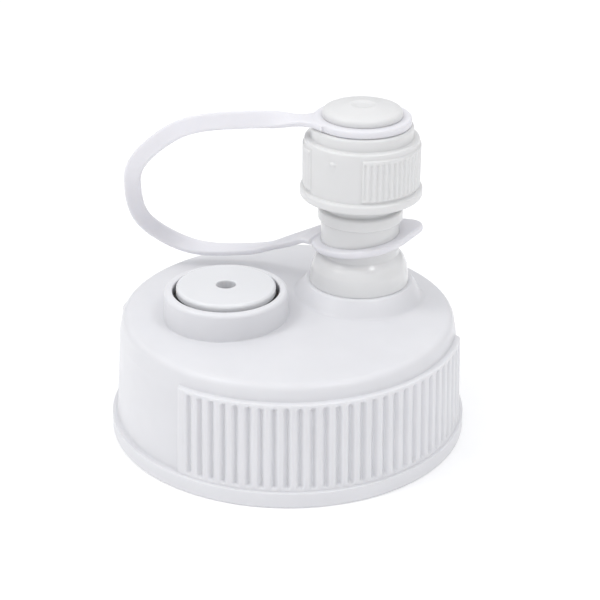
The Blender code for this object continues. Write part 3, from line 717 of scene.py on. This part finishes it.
def build_spout(glossy, white, rubber, foam):
    """The nozzle, its base seal and lock nut, the can's gasket and the small cap's liner."""
    def nozzle_shape(angle, radius, height):
        if abs(radius - CORE_RADIUS) > 0.01 or height < CORE_START:
            return radius
        return threaded(TIP_THREAD, angle, radius, height)

    nozzle = turned("pouring_nozzle", [
        (NOZZLE_BORE, NOZZLE_TOP, 0.3), (CORE_RADIUS, NOZZLE_TOP, 0.4), (CORE_RADIUS, CORE_START, 0.2),
        (UNDERCUT_RADIUS, UNDERCUT_TOP, 0.3), (UNDERCUT_RADIUS, BEAD_HIGH + 0.1, 0.2),
        (BEAD_RADIUS, BEAD_HIGH - 0.1, 1.1), (BEAD_RADIUS, BEAD_LOW, 0.9),
        (NECK_RADIUS, BEAD_LOW - 0.15, 0.2), (NECK_RADIUS, NECK_BOTTOM, 0.4),
        (NOZZLE_CREASE_RADIUS, NOZZLE_SHOULDER, 3.0),
        (NOZZLE_BASE_RADIUS - 0.4, NOZZLE_BASE + 3.1, 2.0), (NOZZLE_BASE_RADIUS, NOZZLE_BASE, 0.09),
        (SEAL_GROOVE_OUTER, NOZZLE_BASE, 0.1), (SEAL_GROOVE_OUTER, SEAL_GROOVE_TOP, 0.15),
        (SEAL_GROOVE_INNER, SEAL_GROOVE_TOP, 0.15), (SEAL_GROOVE_INNER, NOZZLE_BASE, 0.1),
        (SPIGOT_RADIUS, NOZZLE_BASE, 0.2), (SPIGOT_RADIUS, SPIGOT_END, 0.4), (NOZZLE_BORE, SPIGOT_END, 0.3),
    ], SPOUT, glossy, count=240, shape=nozzle_shape, step=0.35)
    seal = turned("base_seal", block(BASE_SEAL_LOW, BASE_SEAL_HIGH, (0.3, 0.3, 0.3, 0.3)),
                  SPOUT, rubber, count=144)

    def hexagon(angle, radius, height):
        if radius < NUT_ROUND:
            return radius
        side = (angle + math.pi / 6.0) % (math.pi / 3.0) - math.pi / 6.0
        return min(radius * math.cos(math.pi / 6.0) / math.cos(side), radius - 0.12)

    nut = turned("spigot_nut", block(NUT_LOW, NUT_HIGH, (0.3, 0.5, 0.5, 0.3)),
                 SPOUT, white, count=240, shape=hexagon, sharp=40.0)
    gasket = turned("can_gasket", block(GASKET_LOW, GASKET_HIGH, (0.35, 0.35, 0.2, 0.2)),
                    MAIN, foam, count=240)
    for piece, node, slot in ((nozzle, "spout_nozzle", "white_glossy_plastic"),
                              (seal, "nozzle_seal_ring", "black_rubber"),
                              (nut, "nozzle_lock_nut", "white_glossy_plastic"),
                              (gasket, "neck_gasket", "grey_seal_foam")):
        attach(piece, "closure")
        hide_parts(node)
    disc = turned("cap_liner", [(0.0, LINER_LOW, 0.0), (LINER_RADIUS, LINER_LOW, 0.3),
                                (LINER_RADIUS, LINER_HIGH, 0.2), (0.0, LINER_HIGH, 0.0)],
                  SPOUT, foam, count=96)
    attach(disc, "liner")
    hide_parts("spout_cap_liner")


def build_small_cap(look):
    """One closed skin: threaded bore, flange, wall with its panels and pip, ring groove and knob."""
    skin = Skin()
    around = 720
    pip = math.radians(PIP_DIRECTION) % PI2

    def inner_shape(angle, radius, height):
        if abs(radius - CAP_BORE) > 0.01:
            return radius
        return threaded(CAP_THREAD, angle, radius, height)

    inside = softened([(0.0, CAP_CEILING, 0.0), (CAP_BORE, CAP_CEILING, 0.3),
                       (CAP_BORE, CAP_ROW_TOP + CAP_ROW_STEP, 0.0)])[1:]
    inside += [(CAP_BORE, CAP_ROW_TOP - CAP_ROW_STEP * k) for k in range(CAP_ROWS)]
    inside += softened([(CAP_BORE, CAP_ROW_END, 0.0), (CAP_BORE_MOUTH, CAP_BOTTOM, 0.15),
                        (CAP_FLANGE_INNER, CAP_BOTTOM, 0.0)])
    rings = [skin.ring(circle(around // 3, r, z, SPOUT, inner_shape)) for r, z in inside]
    first = rings[0]

    rows = softened([(10.8, CAP_BOTTOM, 0.0), (CAP_FLANGE_RADIUS, CAP_BOTTOM, 0.45),
                     (CAP_FLANGE_RADIUS, CAP_FLANGE_TOP, 0.55), (CAP_RADIUS, CAP_FLANGE_TOP + 0.15, 0.25),
                     (CAP_RADIUS, 48.4, 0.0)], step=0.5)[:-1]
    rows += [(CAP_RADIUS, z) for z in heights(*CAP_WALL, CAP_WALL_BUSY, reach=0.9, small=0.13, large=0.9)]
    rows += softened([(CAP_RADIUS, 57.0, 0.0), (CAP_RADIUS, CAP_WALL_TOP, 0.6), (10.2, CAP_WALL_TOP, 0.0)])
    for r, z in rows:
        points = []
        for k in range(around):
            angle = PI2 * k / around
            radius = r
            if r == CAP_RADIUS and CAP_WALL[0] <= z <= CAP_WALL[1]:
                part, along = in_panel(angle, CAP_PANEL_STARTS, CAP_PANEL_SPAN, CAP_PANEL_BORDER)
                off = off_groove(along, CAP_FIRST_GROOVE, CAP_RIB_PITCH, CAP_PANEL_SPAN)
                rise = smooth(*CAP_PANEL_FOOT, z) * (1.0 - smooth(*CAP_PANEL_HEAD, z))
                slab = CAP_PANEL_HEIGHT
                if off is not None:
                    arc = math.radians(off) * r
                    slab -= groove(arc, z, CAP_RIB_HALF, CAP_RIB_DEPTH, CAP_RIB_BOTTOM, CAP_RIB_TOP)
                    slab -= CAP_RIB_CROWN * (1.0 - 2.0 * off / CAP_RIB_PITCH) ** 2
                radius += slab * part * rise
                spot = math.hypot((angle - pip) * r * 0.5, z - PIP_HEIGHT)
                radius += PIP_RISE * (1.0 - smooth(*PIP_SLOPE, spot))
            points.append((SPOUT[0] + radius * math.cos(angle), SPOUT[1] + radius * math.sin(angle), z))
        rings.append(skin.ring(points))
    crown = softened([(10.15, CAP_WALL_TOP, 0.0), (CAP_TIER_RADIUS, CAP_WALL_TOP + 0.1, 0.2),
                      (CAP_TIER_RADIUS, CAP_TIER_TOP, 0.55), (CAP_GROOVE_RADIUS, CAP_TIER_TOP, 0.3),
                      (CAP_GROOVE_RADIUS, KNOB_BOTTOM, 0.2), (KNOB_RADIUS, KNOB_BOTTOM, 0.1),
                      (KNOB_RADIUS, KNOB_BOTTOM + 1.2, 1.1), (KNOB_CROWN, KNOB_TOP - 0.55, 1.6),
                      (GATE_OUTER, KNOB_TOP - 0.02, 0.8), (GATE_INNER, KNOB_TOP - GATE_DEPTH, 0.6),
                      (0.0, KNOB_TOP - GATE_DEPTH - 0.02, 0.0)], step=0.5)[:-1]
    rings += [skin.ring(circle(around // 3, r, z, SPOUT)) for r, z in crown]
    skin.stack(rings)
    skin.close(first)
    skin.close(rings[-1])
    cap = skin.build("small_cap", look)
    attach(cap, "spout_cap")
    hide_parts("spout_cap")


# ---------------------------------------------------------------- tether

def spline_point(points, share):
    """A point on the Catmull-Rom curve through points, share from 0 to 1."""
    spans = len(points) - 1
    place = min(share * spans, spans - 1e-9)
    i = int(place)
    t = place - i
    before = points[i - 1] if i > 0 else points[0] * 2.0 - points[1]
    after = points[i + 2] if i + 2 <= spans else points[-1] * 2.0 - points[-2]
    here, there = points[i], points[i + 1]
    return 0.5 * (2.0 * here + (there - before) * t
                  + (2.0 * before - 5.0 * here + 4.0 * there - after) * t * t
                  + (3.0 * here - before - 3.0 * there + after) * t ** 3)


def flare(reach, outer, fillet):
    """The strap's half width, reach mm from the axis of a ring that it flows into."""
    half = STRAP_WIDTH / 2.0
    start = math.sqrt((outer + fillet) ** 2 - (half + fillet) ** 2)
    if reach >= start:
        return half
    return half + fillet - math.sqrt(max(0.0, fillet ** 2 - (start - reach) ** 2))


def strap_mesh(skin):
    """The strip between the two rings: level at both, and turned to face outward round the loop."""
    route = [Vector(point) for point in STRAP_ROUTE]
    facing = Vector(STRAP_FACING)
    axis = Vector((SPOUT[0], SPOUT[1], 0.0))
    stations = []
    for i in range(STRAP_STATIONS + 1):
        share = i / STRAP_STATIONS
        centre = spline_point(route, share)
        ahead = spline_point(route, min(1.0, share + 0.004)) - spline_point(route, max(0.0, share - 0.004))
        ahead.normalize()
        # The weight says how far the strip has turned from level to facing outward.
        weight = 0.18 * smooth(0.0, 0.12, share) + 0.82 * smooth(0.25, 0.45, share)
        weight *= 1.0 - smooth(0.91, 1.0, share)
        normal = facing * weight + Vector((0.0, 0.0, 1.0 - weight))
        normal = (normal - ahead * normal.dot(ahead)).normalized()
        stations.append((centre, normal.cross(ahead), normal, share))
    # Both ends run on inward until they lie well inside their rings.
    for at, kept in ((0, NECK_RING_OUTER), (-1, CAP_RING_OUTER)):
        centre, across, normal, share = stations[at]
        inward = (axis - centre) * Vector((1.0, 1.0, 0.0))
        depth = inward.length - 0.82 * kept
        slope = stations[1][0] - centre if at == 0 else stations[-2][0] - centre
        rise = -slope.z / slope.xy.length * (0.5 if at == 0 else 1.0)
        steps = [depth * k / STRAP_ROOT_STEPS for k in range(1, STRAP_ROOT_STEPS + 1)]
        inward.normalize()
        grown = [(centre + inward * step + Vector((0.0, 0.0, rise * step)), across, normal, share)
                 for step in steps]
        stations = [*reversed(grown), *stations] if at == 0 else [*stations, *grown]
    rings = []
    thick = STRAP_THICKNESS / 2.0
    for centre, across, normal, share in stations:
        outer, fillet = (NECK_RING_OUTER, NECK_FLARE) if share < 0.5 else (CAP_RING_OUTER, CAP_FLARE)
        half = flare((centre - axis).xy.length, outer, fillet)
        section = softened(block((-half, -thick), (half, thick), (0.35, 0.35, 0.35, 0.35)),
                           step=9.0, closed=True)
        rings.append(skin.ring([tuple(centre + across * a + normal * b) for a, b in section]))
    skin.stack(rings)
    skin.close(rings[0])
    skin.close(rings[-1])


def ring_mesh(skin, inner, outer, thickness, place):
    """A flat ring with rounded edges, laid out about the Z axis and then put in place."""
    half = thickness / 2.0
    outline = softened(block((inner, -half), (outer, half), (0.3, 0.45, 0.45, 0.3)), step=3.0, closed=True)
    rings = []
    for r, z in outline:
        rings.append(skin.ring([tuple(place @ Vector(point)) for point in circle(120, r, z, MAIN)]))
    skin.stack(rings)
    skin.bridge(rings[-1], rings[0])


def tab_mesh(skin, place):
    """The pull tab: straight edges run from the ring's circle to a round end, like a teardrop."""
    half = NECK_RING_THICKNESS / 2.0 * 0.96
    spread = math.acos((NECK_RING_OUTER - TAB_RADIUS) / TAB_CENTRE)
    edge = arc_points((TAB_CENTRE, 0.0), TAB_RADIUS, -math.degrees(spread), math.degrees(spread), 33)
    hug = arc_points((0.0, 0.0), NECK_RING_OUTER - 0.02, math.degrees(spread), -math.degrees(spread), 25)
    share = (NECK_RING_INNER + 0.5) / NECK_RING_OUTER
    back = [(share * x, share * y) for x, y in hug]
    outline = [*edge, hug[0], *back, hug[-1]]
    layers = []
    for z, inset in ((-half, 0.3), (-half + 0.3, 0.0), (half - 0.3, 0.0), (half, 0.3)):
        points = []
        for k, (x, y) in enumerate(outline):
            shrink = inset if k < len(edge) else 0.0
            gap = math.hypot(x - TAB_CENTRE, y) or 1.0
            moved = Vector((x - shrink * (x - TAB_CENTRE) / gap, y - shrink * y / gap, z))
            points.append(tuple(place @ moved))
        layers.append(skin.ring(points))
    skin.stack(layers)
    count = len(outline)
    for layer in (layers[0], layers[-1]):
        flat = [Vector(outline[k]) for k in range(count)]
        borders = [(k, (k + 1) % count) for k in range(count)]
        _, _, triangles, sources, _, _ = delaunay_2d_cdt(flat, borders, [], 1, 1e-6)
        skin.faces.extend(tuple(layer[sources[k][0]] for k in triangle) for triangle in triangles)


def build_tether(look):
    """Both rings, the pull tab and the strap as one seamless soft moulding."""
    turn = math.radians(NECK_RING_LOW_SIDE)
    tilt = Matrix.Rotation(math.radians(NECK_RING_TILT), 4, Vector((-math.sin(turn), math.cos(turn), 0.0)))
    neck = Matrix.Translation((SPOUT[0], SPOUT[1], NECK_RING_HEIGHT)) @ tilt
    top = Matrix.Translation((SPOUT[0], SPOUT[1], CAP_RING_HEIGHT))
    skin = Skin()
    ring_mesh(skin, NECK_RING_INNER, NECK_RING_OUTER, NECK_RING_THICKNESS, neck)
    ring_mesh(skin, CAP_RING_INNER, CAP_RING_OUTER, CAP_RING_THICKNESS, top)
    tab_mesh(skin, neck @ Matrix.Rotation(math.radians(TAB_DIRECTION), 4, 'Z'))
    strap_mesh(skin)
    rough = bpy.data.meshes.new("tether_parts")
    rough.from_pydata(skin.points, [], skin.faces)
    bm = bmesh.new()
    bm.from_mesh(rough)
    bmesh.ops.recalc_face_normals(bm, faces=bm.faces)
    bm.to_mesh(rough)
    bm.free()
    maker = placed_object("tether_parts", rough)
    remesh = maker.modifiers.new("one_skin", 'REMESH')
    remesh.mode = 'VOXEL'
    remesh.voxel_size = TETHER_VOXEL
    remesh.use_smooth_shade = True
    relax = maker.modifiers.new("relax", 'SMOOTH')
    relax.factor = 0.5
    relax.iterations = TETHER_RELAXING
    depsgraph = bpy.context.evaluated_depsgraph_get()
    mesh = bpy.data.meshes.new_from_object(maker.evaluated_get(depsgraph))
    bpy.data.objects.remove(maker, do_unlink=True)
    mesh.transform(Matrix.Scale(MM, 4))
    mesh.name = "tether_strip"
    mesh.shade_smooth()
    mesh.materials.clear()
    mesh.materials.append(look)
    tether = placed_object("tether_strip", mesh)
    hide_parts("tether_neck_ring", "tether_strap", "tether_cap_ring")
    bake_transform(tether)


# ---------------------------------------------------------------- materials

NOISE_RANGE = (0.3, 0.7)
SCATTER_COLOURS = (1.0, 0.95, 0.9)
SCATTER_DEPTH = 0.0014


def noise(nodes, links, where, scale, detail):
    """The value of a noise field with about scale features to the metre."""
    field = nodes.new("ShaderNodeTexNoise")
    field.inputs["Scale"].default_value = scale
    field.inputs["Detail"].default_value = detail
    links.new(where.outputs["Object"], field.inputs["Vector"])
    return field.outputs["Fac"]


def mapped(nodes, links, value, taken, given):
    """A value from the range taken, stretched to run over the range given."""
    stretch = nodes.new("ShaderNodeMapRange")
    stretch.inputs["From Min"].default_value, stretch.inputs["From Max"].default_value = taken
    stretch.inputs["To Min"].default_value, stretch.inputs["To Max"].default_value = given
    links.new(value, stretch.inputs["Value"])
    return stretch.outputs["Result"]


def bumped(nodes, links, value, strength, distance):
    """A bump node driven by a noise value, its distance in metres."""
    made = nodes.new("ShaderNodeBump")
    made.inputs["Strength"].default_value = strength
    made.inputs["Distance"].default_value = distance
    links.new(value, made.inputs["Height"])
    return made


def moulded(name, light, dark, rough, bump=0.05, grain=5000.0, soft=0.0, specular=0.5, metallic=0.0,
            glow=0.0):
    """A moulded material: faint cloudiness in colour and gloss, a slow sink-mark wave and fine grain."""
    made = bpy.data.materials.new(name)
    made.use_nodes = True
    nodes, links = made.node_tree.nodes, made.node_tree.links
    shader = nodes["Principled BSDF"]
    where = nodes.new("ShaderNodeTexCoord")
    cloud = mapped(nodes, links, noise(nodes, links, where, 140.0, 4.0), NOISE_RANGE, (0.0, 1.0))
    blend = nodes.new("ShaderNodeMix")
    blend.data_type = 'RGBA'
    blend.inputs["A"].default_value = (*light, 1.0)
    blend.inputs["B"].default_value = (*dark, 1.0)
    links.new(cloud, blend.inputs["Factor"])
    links.new(blend.outputs["Result"], shader.inputs["Base Color"])
    gloss = mapped(nodes, links, noise(nodes, links, where, 420.0, 5.0), NOISE_RANGE,
                   (rough * 0.88, rough * 1.12))
    links.new(gloss, shader.inputs["Roughness"])
    slow = bumped(nodes, links, noise(nodes, links, where, 260.0, 2.0), 0.12, 0.00006)
    close = bumped(nodes, links, noise(nodes, links, where, grain, 3.0), bump, 0.00004)
    links.new(slow.outputs["Normal"], close.inputs["Normal"])
    links.new(close.outputs["Normal"], shader.inputs["Normal"])
    shader.inputs["Specular IOR Level"].default_value = specular
    shader.inputs["Metallic"].default_value = metallic
    if glow > 0.0:
        shader.inputs["Emission Color"].default_value = (1.0, 1.0, 1.0, 1.0)
        shader.inputs["Emission Strength"].default_value = glow
    if soft > 0.0:
        shader.inputs["Subsurface Weight"].default_value = soft
        shader.inputs["Subsurface Radius"].default_value = SCATTER_COLOURS
        shader.inputs["Subsurface Scale"].default_value = SCATTER_DEPTH
    return made


# ---------------------------------------------------------------- floor, light and camera

def build_stage():
    """A plain white floor that glows faintly, so that it stays as pale as the photo's background."""
    bm = bmesh.new()
    bmesh.ops.create_grid(bm, x_segments=4, y_segments=4, size=3.0)
    mesh = bpy.data.meshes.new("floor")
    bm.to_mesh(mesh)
    bm.free()
    floor = placed_object("floor", mesh)
    mesh.materials.append(moulded("pale_floor", (0.93, 0.93, 0.935), (0.915, 0.915, 0.92), 0.6, bump=0.02,
                                  grain=900.0, specular=0.2, glow=0.13))


def lamp(name, place, size, power):
    """A rectangular soft lamp, in metres and watts, that faces the middle of the object."""
    light = bpy.data.lights.new(name, 'AREA')
    light.shape = 'RECTANGLE'
    light.size, light.size_y = size
    light.energy = power
    holder = placed_object(name, light)
    holder.location = place
    holder.rotation_euler = (Vector(LAMP_TARGET) - Vector(place)).to_track_quat('-Z', 'Y').to_euler()


def build_lights():
    """A pale sky that is brightest overhead, and four small lamps for the highlights."""
    bpy.context.scene.view_settings.view_transform = 'Standard'
    world = bpy.data.worlds.new("studio")
    world.use_nodes = True
    nodes, links = world.node_tree.nodes, world.node_tree.links
    backdrop = nodes["Background"]
    where = nodes.new("ShaderNodeTexCoord")
    apart = nodes.new("ShaderNodeSeparateXYZ")
    links.new(where.outputs["Generated"], apart.inputs["Vector"])
    climb = mapped(nodes, links, apart.outputs["Z"], (0.0, 1.0), (SKY_AT_HORIZON, SKY_OVERHEAD))
    links.new(climb, backdrop.inputs["Strength"])
    backdrop.inputs["Color"].default_value = (0.985, 0.99, 1.0, 1.0)
    bpy.context.scene.world = world
    lamp("left_window", (-0.37, 0.02, 0.58), (0.09, 0.18), 0.78)
    lamp("right_window", (0.15, -0.33, 0.58), (0.08, 0.16), 0.5)
    lamp("left_strip", (-0.57, -0.06, 0.33), (0.10, 0.05), 0.20)
    lamp("right_strip", (0.25, -0.53, 0.30), (0.06, 0.04), 0.08)


def build_camera():
    """The photo's viewpoint: a long lens looking down at the front, rolled very slightly."""
    pitch = math.radians(CAMERA_PITCH)
    up = Vector((0.0, 0.0, 1.0))
    forward = Vector(CAMERA_HEADING) * math.cos(pitch) - up * math.sin(pitch)
    level = forward.cross(up).normalized()
    upward = level.cross(forward)
    right = level * math.cos(CAMERA_ROLL) + upward * math.sin(CAMERA_ROLL)
    facing = Matrix((right, right.cross(forward), -forward)).transposed()
    data = bpy.data.cameras.new("camera")
    data.lens = CAMERA_LENS
    data.sensor_width = CAMERA_SENSOR
    data.clip_start = 0.01
    camera = placed_object("camera", data)
    camera.location = CAMERA_PLACE
    camera.rotation_euler = facing.to_euler()
    bpy.context.scene.camera = camera


def main():
    """Makes the materials, each piece, the stage, the lights and the camera."""
    white = moulded("white_polypropylene_fine", (0.735, 0.735, 0.76), (0.715, 0.715, 0.74), 0.33,
                    soft=0.4)
    glossy = moulded("white_glossy_fine", (0.765, 0.765, 0.768), (0.75, 0.75, 0.753), 0.2,
                     bump=0.02, soft=0.4)
    button = moulded("vent_button_fine", (0.75, 0.755, 0.775), (0.735, 0.74, 0.76), 0.2,
                     bump=0.02, soft=0.4)
    pale = moulded("small_cap_fine", (0.738, 0.738, 0.74), (0.72, 0.72, 0.724), 0.33,
                   soft=0.4)
    soft = moulded("soft_polyethylene_fine", (0.76, 0.755, 0.79), (0.74, 0.735, 0.77), 0.4,
                   bump=0.08, soft=0.5)
    rubber = moulded("black_rubber_fine", (0.012, 0.012, 0.013), (0.02, 0.02, 0.021), 0.55,
                     bump=0.2)
    foam = moulded("seal_foam_fine", (0.62, 0.63, 0.64), (0.50, 0.51, 0.52), 0.85,
                   bump=0.8, grain=2600.0)
    steel = moulded("spring_steel_fine", (0.66, 0.67, 0.69), (0.55, 0.56, 0.58), 0.28,
                    bump=0.15, metallic=1.0)
    build_main_cap(white)
    build_vent(white, button, rubber, steel)
    build_spout(glossy, white, rubber, foam)
    build_small_cap(pale)
    build_tether(soft)
    build_stage()
    build_lights()
    build_camera()


main()
